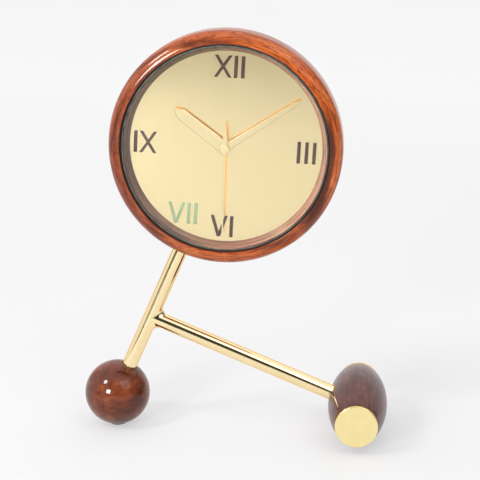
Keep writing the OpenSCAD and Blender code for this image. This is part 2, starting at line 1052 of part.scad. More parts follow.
module step_wheel() {
    color(GEAR)
        in_movement()
            translate(step_pos) {
                wheel(step_t, rotor_mod, tooth_towards(rotor_dir), rotor_wheel_at,
                      rotor_wheel_at + 0.8, step_post_r + bearing_gap);
                wheel(step_pinion_t, step_mod, gap_towards(step_dir + 180, step_pinion_t),
                      step_pinion_at, rotor_wheel_at, step_post_r + bearing_gap);
            }
}

module second_wheel() {
    color(GEAR)
        in_movement() {
            wheel(second_t, step_mod, tooth_towards(step_dir), second_wheel_at, second_wheel_at + 0.8);
            wheel(second_pinion_t, third_mod, tooth_towards(third_dir), second_pinion_at,
                  second_wheel_at);
            arbor(arbor_r, z_move - second_hand_z - 0.6, bridge_at + 0.4);
        }
}

module third_wheel() {
    color(GEAR)
        in_movement()
            translate(third_pos) {
                wheel(third_t, third_mod, gap_towards(third_dir + 180, third_t),
                      third_wheel_at, third_wheel_at + 0.8);
                wheel(third_pinion_t, centre_mod, gap_towards(third_dir + 180, third_pinion_t),
                      centre_wheel_at - 0.1, third_wheel_at);
                arbor(arbor_r, case_wall - 0.4, bridge_at + 0.4);
            }
}

module centre_wheel() {
    color(GEAR)
        in_movement()
            wheel(centre_t, centre_mod, tooth_towards(third_dir), centre_wheel_at,
                  centre_wheel_at + 0.8, minute_pipe_r + bearing_gap);
}

module cannon_pinion() {
    back = centre_wheel_at + 1;
    color(BRASS)
        in_movement()
            difference() {
                union() {
                    wheel(cannon_t, cannon_mod, tooth_towards(motion_dir), cannon_at, cannon_at + 1.2);
                    arbor(minute_pipe_r, z_move - minute_hand_z - 0.9, back);
                }
                arbor(arbor_r + bearing_gap, z_move - minute_hand_z - 2, back + 1);
            }
}

module hour_wheel() {
    color(GEAR)
        in_movement()
            difference() {
                union() {
                    wheel(hour_t, hour_mod, tooth_towards(motion_dir), hour_wheel_at, hour_wheel_at + 1);
                    arbor(hour_pipe_r, z_move - hour_hand_z - 0.8, hour_wheel_at + 1);
                }
                arbor(minute_pipe_r + bearing_gap, z_move - hour_hand_z - 2, hour_wheel_at + 2);
            }
}

module motion_wheel() {
    color(GEAR)
        in_movement()
            translate(motion_pos) {
                wheel(motion_t, cannon_mod, gap_towards(motion_dir + 180, motion_t), cannon_at,
                      cannon_at + 1.2, post_r + bearing_gap);
                wheel(motion_pinion_t, hour_mod, gap_towards(motion_dir + 180, motion_pinion_t),
                      hour_wheel_at - 0.1, cannon_at, post_r + bearing_gap);
            }
}

module setting_shaft() {
    color(GEAR)
        in_movement()
            translate(setting_pos) {
                wheel(setting_t, cannon_mod, gap_towards(setting_dir + 180, setting_t), cannon_at,
                      cannon_at + 1.2);
                arbor(setting_shaft_r, case_wall - 0.4, movement_depth + knob_gap + 0.8);
            }
}

module setting_knob() {
    notches = 18;
    knob_r = 6.5;
    color(BLACK)
        in_movement(movement_depth + knob_gap + knob_t)
            translate(setting_pos)
                difference() {
                    cylinder(r = knob_r, h = knob_t, $fn = 64);
                    translate([0, 0, knob_t - 0.8])
                        cylinder(r = setting_shaft_r, h = 1, $fn = 32);
                    for (i = [0 : notches - 1])
                        rotate([0, 0, i * 360 / notches])
                            translate([knob_r + 0.2, 0, -1])
                                cylinder(r = 0.6, h = knob_t + 2, $fn = 16);
                }
}

// ---------------------------------------------------------------- hands

// A hand drawn pointing up from the centre, tapering to its shoulder and then
// to its point.
module hand_shape(length, root_w, end_w, point_l, boss_r) {
    polygon([
        [-root_w / 2, 0], [root_w / 2, 0], [end_w / 2, length - point_l],
        [0, length], [-end_w / 2, length - point_l]
    ]);
    circle(r = boss_r, $fn = 64);
}

module place_hand(turn, z) {
    in_head()
        rotate([0, 0, -dial_turn - turn])
            translate([0, 0, z])
                children();
}

module hour_hand() {
    turn = 30 * show_hour + show_minute / 2;
    color(BRASS)
        place_hand(turn, hour_hand_z)
            linear_extrude(hand_t)
                difference() {
                    hand_shape(hour_hand_l, hour_hand_w, 0.88 * hour_hand_w, 6.8, 6.6);
                    circle(r = hour_pipe_r, $fn = 48);
                }
}

module minute_hand() {
    color(BRASS)
        place_hand(6 * show_minute, minute_hand_z)
            linear_extrude(hand_t)
                difference() {
                    hand_shape(minute_hand_l, minute_hand_w, 0.57 * minute_hand_w, 4, 4.6);
                    circle(r = minute_pipe_r, $fn = 48);
                }
}

module second_hand() {
    hub_r = 3.9;
    stem_w = 1.8;
    tip_w = 1.1;
    color(BRASS)
        place_hand(6 * show_second, second_hand_z)
            difference() {
                union() {
                    linear_extrude(hand_t - 0.1) {
                        polygon([
                            [-stem_w / 2, 0], [stem_w / 2, 0],
                            [tip_w / 2, second_hand_l], [-tip_w / 2, second_hand_l]
                        ]);
                        polygon([[-2.8, 0], [2.8, 0], [0.5, -second_tail_l], [-0.5, -second_tail_l]]);
                    }
                    cylinder(r = hub_r, h = 0.9, $fn = 64);
                }
                translate([0, 0, -1])
                    cylinder(r = arbor_r, h = 1.6, $fn = 32);
            }
}

case_ring();
bezel_ring();
glass();
glass_gasket();
dial_plate();
dial_backing();
numeral_xii();
numeral_iii();
numeral_vi();
numeral_vii();
numeral_ix();
back_panel();
back_screws();
main_rod();
branch_rod();
braze_fillet();
rod_studs();
wood_inserts();
ball_foot();
ball_pad();
barrel_foot();
barrel_pad();
front_cap();
rear_cap();
movement_case();
movement_cover();
train_bridge();
threaded_bush();
bush_washer();
bush_nut();
rubber_washer();
battery();
contact_positive();
contact_negative();
circuit_board();
chip();
quartz_crystal();
stator();
coil_core();
coil_winding();
rotor_magnet();
rotor_pinion();
step_wheel();
second_wheel();
second_hand();
third_wheel();
centre_wheel();
cannon_pinion();
minute_hand();
hour_wheel();
hour_hand();
motion_wheel();
setting_shaft();
setting_knob();
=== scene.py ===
# %% [markdown]
# # A round wooden clock on a tee of brass rods
# The clock has a turned wooden head with a brass dial behind glass. A straight brass rod
# carries the head and ends in a wooden ball. A second rod branches off it and ends in a
# wooden barrel with brass ends. The CAD model gives every size and place, so this lesson
# starts by loading it, and each visible piece is then made again with smooth curves and
# a finish of its own.

# %% Load the CAD model and keep its box
import bpy
import json
import math
from mathutils import Matrix, Vector


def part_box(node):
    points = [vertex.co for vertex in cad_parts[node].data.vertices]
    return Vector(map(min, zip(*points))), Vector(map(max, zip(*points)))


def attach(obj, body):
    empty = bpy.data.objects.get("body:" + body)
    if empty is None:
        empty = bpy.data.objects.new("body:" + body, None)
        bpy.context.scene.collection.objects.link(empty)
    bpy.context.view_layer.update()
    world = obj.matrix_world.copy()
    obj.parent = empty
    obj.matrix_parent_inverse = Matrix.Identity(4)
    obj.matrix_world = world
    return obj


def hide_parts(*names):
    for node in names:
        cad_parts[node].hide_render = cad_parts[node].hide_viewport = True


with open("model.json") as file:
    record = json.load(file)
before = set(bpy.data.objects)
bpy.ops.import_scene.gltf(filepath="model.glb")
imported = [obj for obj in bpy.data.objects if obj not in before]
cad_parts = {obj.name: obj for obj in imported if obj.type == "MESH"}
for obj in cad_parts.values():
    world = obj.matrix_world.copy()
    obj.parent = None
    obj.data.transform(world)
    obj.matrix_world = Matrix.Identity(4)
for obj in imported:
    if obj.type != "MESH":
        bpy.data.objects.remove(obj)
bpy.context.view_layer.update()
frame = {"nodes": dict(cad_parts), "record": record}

# %% [markdown]
# ## Where things are
# All places are in metres. The glass is a whole disc centred on the head, so its box gives
# the head's centre. The ball and the barrel give the feet. A rod's line then runs from one
# centre to another, just as a maker would set them out on a drawing.

# %% Centres and directions
MM = 0.001


def middle(node):
    low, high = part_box(node)
    return (low + high) / 2


HEAD = middle("glass")
HEAD.y = 0.0
ball_low, ball_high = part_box("ball_foot")
BALL_R = (ball_high.x - ball_low.x) / 2
BALL = Vector(((ball_high.x + ball_low.x) / 2, 0.0, ball_high.z - BALL_R))
barrel_low, barrel_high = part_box("barrel_foot")
BARREL_R = (barrel_high.x - barrel_low.x) / 2
BARREL = Vector(((barrel_high.x + barrel_low.x) / 2, 0.0, barrel_high.z - BARREL_R))
MAIN_DIR = (HEAD - BALL).normalized()
BRANCH_RISE = 79 * MM
TEE = BALL + BRANCH_RISE * MAIN_DIR
BRANCH_DIR = (BARREL - TEE).normalized()
ROD_R = 6.5 * MM
print("head", HEAD, "ball", BALL, "barrel", BARREL)


def lying_along(start, direction):
    """The place whose z axis starts at a point and runs along a direction in the plane y = 0."""
    z = direction.normalized()
    y = Vector((0, 1, 0))
    x = y.cross(z)
    turn = Matrix((x, y, z)).transposed().to_4x4()
    return Matrix.Translation(start) @ turn


# In the head's own place x is right, y is up and z comes out of the dial.
HEAD_PLACE = Matrix.Translation(HEAD) @ Matrix.Rotation(math.radians(90), 4, "X")

# %% [markdown]
# ## Small tools for modelling
# Nearly everything on this clock is turned on a lathe, so the main tool is a lathe too: a
# circle of points is bent into the outline, its corners are rounded by bevelling single
# vertices, and the outline is spun once round. The other tool takes a flat-sided CAD piece,
# copies it, and breaks its sharp edges, since no real edge is perfectly sharp.


# %% Selecting, naming and placing a piece
def deselect_all():
    if bpy.context.mode != "OBJECT":
        bpy.ops.object.mode_set(mode="OBJECT")
    bpy.ops.object.select_all(action="DESELECT")


def work_on(piece):
    deselect_all()
    piece.select_set(True)
    bpy.context.view_layer.objects.active = piece


def settle(piece, name, place, body, nodes, angle=35):
    """Moves a piece's mesh into place, smooths it and hands it to its body."""
    work_on(piece)
    piece.name = name
    piece.data.name = name
    piece.matrix_world = place
    bpy.ops.object.transform_apply(location=True, rotation=True, scale=True)
    bpy.ops.object.shade_smooth_by_angle(angle=math.radians(angle))
    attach(piece, body)
    if nodes:
        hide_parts(*nodes)
    print(name, len(piece.data.vertices), "points")
    return piece


# %% [markdown]
# ### The lathe
# One helper rounds a corner of the outline, one spins the outline about the z axis, and the
# last puts them together and settles the piece in its place.


# %% The lathe
def round_corner(piece, corner, radius):
    """Rounds the outline's point nearest a corner."""
    mesh = piece.data
    bpy.ops.object.mode_set(mode="OBJECT")
    target = Vector((corner[0] * MM, 0, corner[1] * MM))
    nearest = min(mesh.vertices, key=lambda v: (v.co - target).length)
    for group in (mesh.vertices, mesh.edges, mesh.polygons):
        for item in group:
            item.select = False
    nearest.select = True
    bpy.ops.object.mode_set(mode="EDIT")
    bpy.ops.mesh.select_mode(type="VERT")
    bpy.ops.mesh.bevel(offset=radius * MM, segments=10, affect="VERTICES")


def spin_round(piece, steps):
    """Spins the outline about z and closes the seam and the poles."""
    mesh = piece.data
    bpy.ops.object.mode_set(mode="EDIT")
    bpy.ops.mesh.select_all(action="SELECT")
    bpy.ops.mesh.delete(type="ONLY_FACE")
    bpy.ops.mesh.select_mode(type="EDGE")
    bpy.ops.object.mode_set(mode="OBJECT")
    on_axis = [e for e in mesh.edges
               if all(mesh.vertices[i].co.xy.length < 1e-7 for i in e.vertices)]
    for item in list(mesh.vertices) + list(mesh.edges):
        item.select = False
    for edge in on_axis:
        edge.select = True
    bpy.ops.object.mode_set(mode="EDIT")
    if on_axis:
        bpy.ops.mesh.delete(type="EDGE")
    bpy.ops.mesh.select_all(action="SELECT")
    bpy.ops.mesh.spin(steps=steps, angle=2 * math.pi, center=(0, 0, 0), axis=(0, 0, 1))
    bpy.ops.mesh.select_all(action="SELECT")
    bpy.ops.mesh.remove_doubles(threshold=1e-6)
    bpy.ops.mesh.normals_make_consistent(inside=False)
    bpy.ops.object.mode_set(mode="OBJECT")


def turned(name, outline, place, body, nodes=(), rounds=(), steps=192, angle=35):
    """A turned piece. The outline is (radius, height) in mm, anticlockwise, and rounds is
    (corner number, radius) in mm."""
    deselect_all()
    bpy.ops.mesh.primitive_circle_add(vertices=len(outline), fill_type="NGON")
    piece = bpy.context.active_object
    for vertex, (radius, height) in zip(piece.data.vertices, outline):
        vertex.co = (radius * MM, 0, height * MM)
    for number, radius in rounds:
        round_corner(piece, outline[number], radius)
    spin_round(piece, steps)
    return settle(piece, name, place, body, nodes, angle)


# %% [markdown]
# ### Breaking edges
# A CAD mesh is many small triangles. Merging its doubled points and dissolving its flat
# seams first lets the bevel find the true edges.


# %% Edge breaking on a copy of a CAD piece
def edge_broken(node, name, body, edge=0.12, angle=30):
    """A copy of a CAD piece with its edges bevelled by edge mm."""
    deselect_all()
    mesh = frame["nodes"][node].data.copy()
    mesh.materials.clear()
    piece = bpy.data.objects.new(name, mesh)
    bpy.context.collection.objects.link(piece)
    work_on(piece)
    bpy.ops.object.mode_set(mode="EDIT")
    bpy.ops.mesh.select_all(action="SELECT")
    bpy.ops.mesh.remove_doubles(threshold=2e-6)
    bpy.ops.mesh.dissolve_limited(angle_limit=math.radians(0.5))
    bpy.ops.object.mode_set(mode="OBJECT")
    if edge:
        bevel = piece.modifiers.new("broken edges", "BEVEL")
        bevel.width = edge * MM
        bevel.segments = 2
        bevel.limit_method = "ANGLE"
        bevel.angle_limit = math.radians(angle)
        bpy.ops.object.modifier_apply(modifier=bevel.name)
    return settle(piece, name, Matrix.Identity(4), body, [node], angle)


# %% [markdown]
# ## Small tools for finishes
# A finish is a Principled shader with a few noises in front of it. These helpers add one
# node each, so that a material reads like a recipe. Colours are given as a painter's
# 0 to 255 values and turned into the linear values that the shader wants.


# %% Nodes for materials
def tone(red, green, blue):
    def linear(c):
        c = c / 255
        return c / 12.92 if c <= 0.04045 else ((c + 0.055) / 1.055) ** 2.4
    return (linear(red), linear(green), linear(blue), 1.0)


def new_finish(name, colour=(0.5, 0.5, 0.5, 1), metallic=0.0, roughness=0.5, coat=0.0,
               coat_roughness=0.03):
    material = bpy.data.materials.new(name)
    material.use_nodes = True
    tree = material.node_tree
    shader = tree.nodes["Principled BSDF"]
    shader.inputs["Base Color"].default_value = colour
    shader.inputs["Metallic"].default_value = metallic
    shader.inputs["Roughness"].default_value = roughness
    shader.inputs["Coat Weight"].default_value = coat
    shader.inputs["Coat Roughness"].default_value = coat_roughness
    if coat:
        shader.inputs["Specular IOR Level"].default_value = 0.1
    material.diffuse_color = colour
    return material, tree, shader


def place_from(tree, centre, stretch=(1, 1, 1), turn=(0, 0, 0)):
    """Object coordinates measured from a centre, then turned and stretched."""
    source = tree.nodes.new("ShaderNodeTexCoord")
    shift = tree.nodes.new("ShaderNodeMapping")
    shift.vector_type = "POINT"
    shift.inputs["Location"].default_value = [-c for c in centre]
    tree.links.new(source.outputs["Object"], shift.inputs["Vector"])
    scale = tree.nodes.new("ShaderNodeMapping")
    scale.inputs["Rotation"].default_value = [math.radians(a) for a in turn]
    scale.inputs["Scale"].default_value = stretch
    tree.links.new(shift.outputs["Vector"], scale.inputs["Vector"])
    return scale.outputs["Vector"]


def noise(tree, vector, scale=1.0, detail=4.0, roughness=0.5, distortion=0.0, w=None):
    node = tree.nodes.new("ShaderNodeTexNoise")
    if w is not None:
        node.noise_dimensions = "4D"
        tree.links.new(w, node.inputs["W"])
    tree.links.new(vector, node.inputs["Vector"])
    node.inputs["Scale"].default_value = scale
    node.inputs["Detail"].default_value = detail
    node.inputs["Roughness"].default_value = roughness
    node.inputs["Distortion"].default_value = distortion
    return node.outputs["Fac"]


def ramp(tree, factor, *stops):
    node = tree.nodes.new("ShaderNodeValToRGB")
    elements = node.color_ramp.elements
    while len(elements) < len(stops):
        elements.new(0.5)
    for element, (position, colour) in zip(elements, stops):
        element.position = position
        element.color = colour if len(colour) == 4 else (*colour, 1)
    tree.links.new(factor, node.inputs["Fac"])
    return node.outputs["Color"]


def grey(level):
    return (level, level, level, 1)


def mix(tree, factor, first, second, way="MIX"):
    node = tree.nodes.new("ShaderNodeMix")
    node.data_type = "RGBA"
    node.blend_type = way
    for socket, value in ((node.inputs[0], factor), (node.inputs[6], first), (node.inputs[7], second)):
        if isinstance(value, bpy.types.NodeSocket):
            tree.links.new(value, socket)
        else:
            socket.default_value = value
    return node.outputs[2]


def calculate(tree, what, first, second=None, third=None):
    node = tree.nodes.new("ShaderNodeMath")
    node.operation = what
    for socket, value in zip(node.inputs, (first, second, third)):
        if value is None:
            continue
        if isinstance(value, bpy.types.NodeSocket):
            tree.links.new(value, socket)
        else:
            socket.default_value = value
    return node.outputs["Value"]


def spread(tree, value, low, high):
    """Maps a 0 to 1 value to the range low to high."""
    node = tree.nodes.new("ShaderNodeMapRange")
    tree.links.new(value, node.inputs["Value"])
    node.inputs["To Min"].default_value = low
    node.inputs["To Max"].default_value = high
    return node.outputs["Result"]


def bump(tree, shader, height, strength, distance_mm):
    node = tree.nodes.new("ShaderNodeBump")
    node.inputs["Strength"].default_value = strength
    node.inputs["Distance"].default_value = distance_mm * MM
    tree.links.new(height, node.inputs["Height"])
    tree.links.new(node.outputs["Normal"], shader.inputs["Normal"])


# %% [markdown]
# ## The lacquered wood of the head
# The head's grain runs round the ring. On the real ring it is bent or jointed wood under a
# thick clear lacquer. A noise made from the direction round the centre, the radius and the
# depth gives streaks that follow the ring, and a slower one lets the tone drift from dark
# red-brown on one side to orange on the other. The lacquer is the shader's coat.


# %% Ring wood
def ring_directions(tree):
    """The unit direction from the head's centre, the radius, and the depth."""
    near = place_from(tree, HEAD)
    split = tree.nodes.new("ShaderNodeSeparateXYZ")
    tree.links.new(near, split.inputs["Vector"])
    x, y, z = (split.outputs[name] for name in "XYZ")
    radius = calculate(tree, "SQRT", calculate(
        tree, "ADD", calculate(tree, "MULTIPLY", x, x), calculate(tree, "MULTIPLY", z, z)))
    return (calculate(tree, "DIVIDE", x, radius), calculate(tree, "DIVIDE", z, radius), radius, y)


def ring_vector(tree, along, across):
    """Stretched coordinates for grain that follows the ring."""
    right, up, radius, depth = ring_directions(tree)
    join = tree.nodes.new("ShaderNodeCombineXYZ")
    tree.links.new(calculate(tree, "MULTIPLY", right, along), join.inputs["X"])
    tree.links.new(calculate(tree, "MULTIPLY", up, along), join.inputs["Y"])
    tree.links.new(calculate(tree, "MULTIPLY", radius, across), join.inputs["Z"])
    return join.outputs["Vector"], calculate(tree, "MULTIPLY", depth, across), right, up


ring_wood, tree, shader = new_finish("ring wood", roughness=0.42, coat=0.6, coat_roughness=0.02)
grain, grain_depth, right, up = ring_vector(tree, 2.4, 190)
streaks = noise(tree, grain, 1.0, 7, 0.62, 0.5, grain_depth)
patches = noise(tree, grain, 0.45, 3, 0.5, 0.2, grain_depth)
fine = noise(tree, grain, 4.0, 4, 0.6, 0.0, grain_depth)
dark_side = ramp(tree, streaks, (0.32, tone(74, 28, 16)), (0.52, tone(152, 72, 40)),
                 (0.72, tone(192, 104, 62)))
light_side = ramp(tree, streaks, (0.3, tone(146, 50, 18)), (0.5, tone(216, 104, 42)),
                  (0.7, tone(236, 134, 68)))
leftward = calculate(tree, "MULTIPLY_ADD", up, -0.139, calculate(tree, "MULTIPLY", right, -0.99))
darkening = calculate(tree, "MULTIPLY_ADD", leftward, 1.8, -0.55)
darkening = calculate(tree, "MINIMUM", calculate(tree, "MAXIMUM", darkening, 0.0), 1.0)
undarkened = calculate(tree, "MULTIPLY_ADD", darkening, -0.48, 0.58)
lean_to_light = calculate(tree, "MULTIPLY_ADD", right, 0.22, undarkened)
lean_to_light = calculate(tree, "ADD", lean_to_light, calculate(tree, "MULTIPLY_ADD", patches, 0.9, -0.45))
side = ramp(tree, lean_to_light, (0.12, grey(0)), (0.85, grey(1)))
wood = mix(tree, side, dark_side, light_side)
wood = mix(tree, ramp(tree, patches, (0.34, grey(0.9)), (0.46, grey(0.0))), wood, tone(52, 18, 12))
wood = mix(tree, 0.35, wood, ramp(tree, fine, (0.35, grey(0.25)), (0.6, grey(1.0))), "MULTIPLY")
veins = noise(tree, grain, 0.8, 6, 0.62, 1.6, grain_depth)
vein = ramp(tree, veins, (0.455, grey(0)), (0.485, grey(0.95)), (0.5, grey(0.15)),
            (0.57, grey(0)), (0.6, grey(0.7)), (0.63, grey(0)))
wood = mix(tree, vein, wood, tone(74, 24, 12))
tree.links.new(wood, shader.inputs["Base Color"])
bump(tree, shader, fine, 0.15, 0.15)
print("ring wood ready")

# %% [markdown]
# ## The head's ring
# The ring is the part that the eye meets first. Its front edge is a full quarter round that
# ends at the glass, its rear edge is a smaller round, and inside there is a step for the
# dial, the bezel and the glass. One outline, spun once, gives all of it.

# %% Model the head's ring
RING_R = (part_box("case_ring")[1].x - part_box("case_ring")[0].x) / 2 / MM
FRONT = -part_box("case_ring")[0].y / MM
REAR = -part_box("case_ring")[1].y / MM
OPENING_R = 89.2
CAVITY_R = 79.0
STEP_Z = -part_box("dial_backing")[1].y / MM
ring = turned(
    "head_ring",
    [(CAVITY_R, REAR + 3.2), (OPENING_R, REAR + 3.2), (OPENING_R, REAR), (RING_R, REAR),
     (RING_R, FRONT), (OPENING_R, FRONT), (OPENING_R, STEP_Z), (CAVITY_R, STEP_Z)],
    HEAD_PLACE, "stand", ["case_ring"],
    rounds=[(3, 8.0), (4, 10.4), (5, 0.35), (2, 0.4)], steps=256)
ring.data.materials.append(ring_wood)

# %% [markdown]
# ## The inner bezel
# Behind the glass the wood slopes in to the dial. It is cut across, so its grain shows as
# fine rings, and it has less lacquer than the outside. It is darker on the left, where the
# ring shades it. It is a cone with a short flat rim in front, where the glass sits.

# %% Bezel wood and the bezel
bezel_wood, tree, shader = new_finish("bezel wood", roughness=0.42, coat=0.35, coat_roughness=0.2)
grain, grain_depth, right, up = ring_vector(tree, 1.2, 900)
rings = noise(tree, grain, 1.0, 5, 0.6, 0.3, grain_depth)
slow, slow_depth, right, up = ring_vector(tree, 1.5, 60)
drift = noise(tree, slow, 1.0, 2, 0.5, 0.0, slow_depth)
wood = ramp(tree, rings, (0.4, tone(58, 34, 27)), (0.5, tone(124, 82, 64)), (0.6, tone(176, 130, 108)))
wood = mix(tree, ramp(tree, drift, (0.4, grey(0.0)), (0.65, grey(0.4))), wood, tone(140, 88, 66))
from_left = calculate(tree, "MULTIPLY_ADD", right, 0.5, 0.5)
shade_side = ramp(tree, from_left, (0.15, grey(0.55)), (0.7, grey(0.0)))
wood = mix(tree, shade_side, wood, tone(46, 38, 34))
tree.links.new(wood, shader.inputs["Base Color"])
bump(tree, shader, rings, 0.25, 0.12)
DIAL_Z = -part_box("dial_plate")[0].y / MM
GLASS_Z = -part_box("glass")[1].y / MM
GLASS_R = (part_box("glass")[1].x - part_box("glass")[0].x) / 2 / MM
BEZEL_IN = 82.2
BEZEL_OUT = 89.0
bezel = turned(
    "inner_bezel",
    [(BEZEL_IN, DIAL_Z), (BEZEL_OUT, DIAL_Z), (BEZEL_OUT, GLASS_Z), (GLASS_R - 1.6, GLASS_Z)],
    HEAD_PLACE, "stand", ["bezel_ring"], rounds=[(3, 0.5)], steps=256)
bezel.data.materials.append(bezel_wood)

# %% [markdown]
# ## Glass and its gasket
# The glass is a flat disc with a ground bevel round its front edge. The bevel is what shows
# as the pale green line, so it gets a frosted green finish of its own, and the flat is clear.
# Lamps would be stopped by a clear solid, so the shader lets their rays straight through.

# %% Clear glass, ground edge and gasket
glass_clear, tree, shader = new_finish("clear glass", tone(250, 253, 252), roughness=0.0)
shader.inputs["Transmission Weight"].default_value = 1.0
shader.inputs["IOR"].default_value = 1.45
smudges = noise(tree, place_from(tree, HEAD), 30, 3, 0.5)
tree.links.new(spread(tree, smudges, 0.0, 0.012), shader.inputs["Roughness"])
path = tree.nodes.new("ShaderNodeLightPath")
through = tree.nodes.new("ShaderNodeBsdfTransparent")
either = tree.nodes.new("ShaderNodeMixShader")
tree.links.new(path.outputs["Is Shadow Ray"], either.inputs["Fac"])
tree.links.new(shader.outputs["BSDF"], either.inputs[1])
tree.links.new(through.outputs["BSDF"], either.inputs[2])
tree.links.new(either.outputs["Shader"], tree.nodes["Material Output"].inputs["Surface"])

glass_edge, tree, shader = new_finish("ground glass edge", tone(104, 108, 100), roughness=0.35, coat=0.5)
grain, grain_depth, right, up = ring_vector(tree, 14, 400)
polish = noise(tree, grain, 1.0, 3, 0.5, 0.0, grain_depth)
tree.links.new(ramp(tree, polish, (0.35, tone(80, 84, 76)), (0.65, tone(132, 138, 128))),
               shader.inputs["Base Color"])

GLASS_T = (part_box("glass")[1].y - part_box("glass")[0].y) / MM
BEVEL = 1.1
glass = turned(
    "front_glass",
    [(0, GLASS_Z), (GLASS_R, GLASS_Z), (GLASS_R, GLASS_Z + GLASS_T - BEVEL / 2),
     (GLASS_R - BEVEL, GLASS_Z + GLASS_T), (0, GLASS_Z + GLASS_T)],
    HEAD_PLACE, "stand", ["glass"], steps=256, angle=12)
glass.data.materials.append(glass_clear)
glass.data.materials.append(glass_edge)
for face in glass.data.polygons:
    face.material_index = 1 if abs(face.normal.y) < 0.98 else 0

gasket_rubber, tree, shader = new_finish("gasket rubber", tone(16, 15, 14), roughness=0.45)
tree.links.new(spread(tree, noise(tree, place_from(tree, HEAD), 600, 3, 0.5), 0.35, 0.6),
               shader.inputs["Roughness"])
gasket = turned(
    "glass_seal",
    [(GLASS_R, GLASS_Z), (BEZEL_OUT, GLASS_Z), (BEZEL_OUT, GLASS_Z + GLASS_T), (GLASS_R, GLASS_Z + GLASS_T)],
    HEAD_PLACE, "stand", ["glass_gasket"], rounds=[(2, 0.5), (3, 0.4)], steps=256)
gasket.data.materials.append(gasket_rubber)

# %% [markdown]
# ## The brass dial
# The dial is a thin brass plate, brushed straight up and down and then lacquered. Brushing
# leaves upright scratches, which smear reflections sideways. Here the scratches are a noise
# stretched tall and thin, which changes both the roughness and, very slightly, the slope.


# %% Brass finishes
def brushed_brass(name, colour, centre, across=4200, along=14):
    material, tree, shader = new_finish(name, colour, metallic=1.0, roughness=0.16)
    scratches = noise(tree, place_from(tree, centre, (across, 60, along)), 1.0, 5, 0.65)
    broad = noise(tree, place_from(tree, centre, (160, 30, 5)), 1.0, 3, 0.5)
    shade = mix(tree, ramp(tree, scratches, (0.3, grey(0.0)), (0.7, grey(1.0))),
                [c * 0.96 for c in colour[:3]] + [1], [min(1, c * 1.03) for c in colour[:3]] + [1])
    tree.links.new(shade, shader.inputs["Base Color"])
    tree.links.new(spread(tree, broad, 0.13, 0.19), shader.inputs["Roughness"])
    bump(tree, shader, scratches, 0.05, 0.01)
    return material


def polished_brass(name, colour, roughness=0.09):
    material, tree, shader = new_finish(name, colour, metallic=1.0, roughness=roughness)
    shader.inputs["Specular Tint"].default_value = (1.0, 0.55, 0.2, 1)
    haze = noise(tree, place_from(tree, (0, 0, 0)), 90, 4, 0.6)
    wipes = noise(tree, place_from(tree, (0, 0, 0), (900, 900, 60), (0, 23, 0)), 1.0, 3, 0.6)
    tree.links.new(spread(tree, haze, roughness * 0.6, roughness * 1.5), shader.inputs["Roughness"])
    shade = mix(tree, ramp(tree, haze, (0.35, grey(0.0)), (0.65, grey(1.0))),
                [c * 0.95 for c in colour[:3]] + [1], colour)
    tree.links.new(shade, shader.inputs["Base Color"])
    bump(tree, shader, wipes, 0.05, 0.01)
    return material


dial_brass = brushed_brass("dial brass", (0.985, 0.775, 0.44, 1), HEAD)
bright_brass = polished_brass("polished brass", (1.0, 0.82, 0.48, 1), 0.07)
edge_gold = polished_brass("bright edge", (1.0, 0.87, 0.62, 1), 0.15)
hub_brass = polished_brass("hub brass", (0.92, 0.7, 0.38, 1), 0.3)
back_gold = polished_brass("unpolished back", (1.0, 0.74, 0.32, 1), 0.65)
print("brass finishes ready")

# %% [markdown]
# ### The dial itself
# A thin disc with a hole in the middle for the movement's threaded bush.

# %% Model the dial
BUSH_HOLE = 4.2
dial = turned(
    "dial",
    [(BUSH_HOLE, DIAL_Z - 1), (BEZEL_OUT, DIAL_Z - 1), (BEZEL_OUT, DIAL_Z), (BUSH_HOLE, DIAL_Z)],
    HEAD_PLACE, "stand", ["dial_plate"], steps=256)
dial.data.materials.append(dial_brass)

# %% [markdown]
# ## Numerals
# The numerals are thin strokes fixed on the dial, dark brown except for one that is pale
# green. Their shapes come from the CAD strokes. Breaking their edges lets each stroke catch
# a fine line of light on one side, which is what makes them look raised.

# %% Enamel and numerals
def enamel(name, colour):
    material, tree, shader = new_finish(name, colour, roughness=0.4, coat=0.3, coat_roughness=0.08)
    mottle = noise(tree, place_from(tree, HEAD), 900, 3, 0.6)
    tree.links.new(mix(tree, ramp(tree, mottle, (0.35, grey(0)), (0.65, grey(0.35))), colour,
                       [c * 0.7 for c in colour[:3]] + [1]), shader.inputs["Base Color"])
    return material


dark_enamel = enamel("dark numeral enamel", tone(66, 36, 28))
pale_enamel = enamel("pale numeral enamel", tone(138, 152, 116))
for numeral, material, slot in (
        ("numeral_xii", dark_enamel, "dark_enamel"), ("numeral_iii", dark_enamel, "dark_enamel"),
        ("numeral_vi", dark_enamel, "dark_enamel"), ("numeral_vii", pale_enamel, "pale_enamel"),
        ("numeral_ix", dark_enamel, "dark_enamel")):
    piece = edge_broken(numeral, numeral + "_raised", "stand", edge=0.15)
    piece.data.materials.append(material)

# %% [markdown]
# ## Hands
# Each hand is stamped from brass sheet. Its face is brushed like the dial, so it nearly
# disappears against it, and what draws it is the bright polished bevel round the sheet. An
# outline is made from a circle of points, extruded to most of the sheet's thickness, and
# its top is inset and raised for the bevel. The underside, which the dial mirrors, stays
# unpolished and is a deeper gold.

# %% Model the hands
DIAL_TURN = 3.0
SHOWN_HOUR = 10
SHOWN_MINUTE = 9
SHOWN_SECOND = 29.8


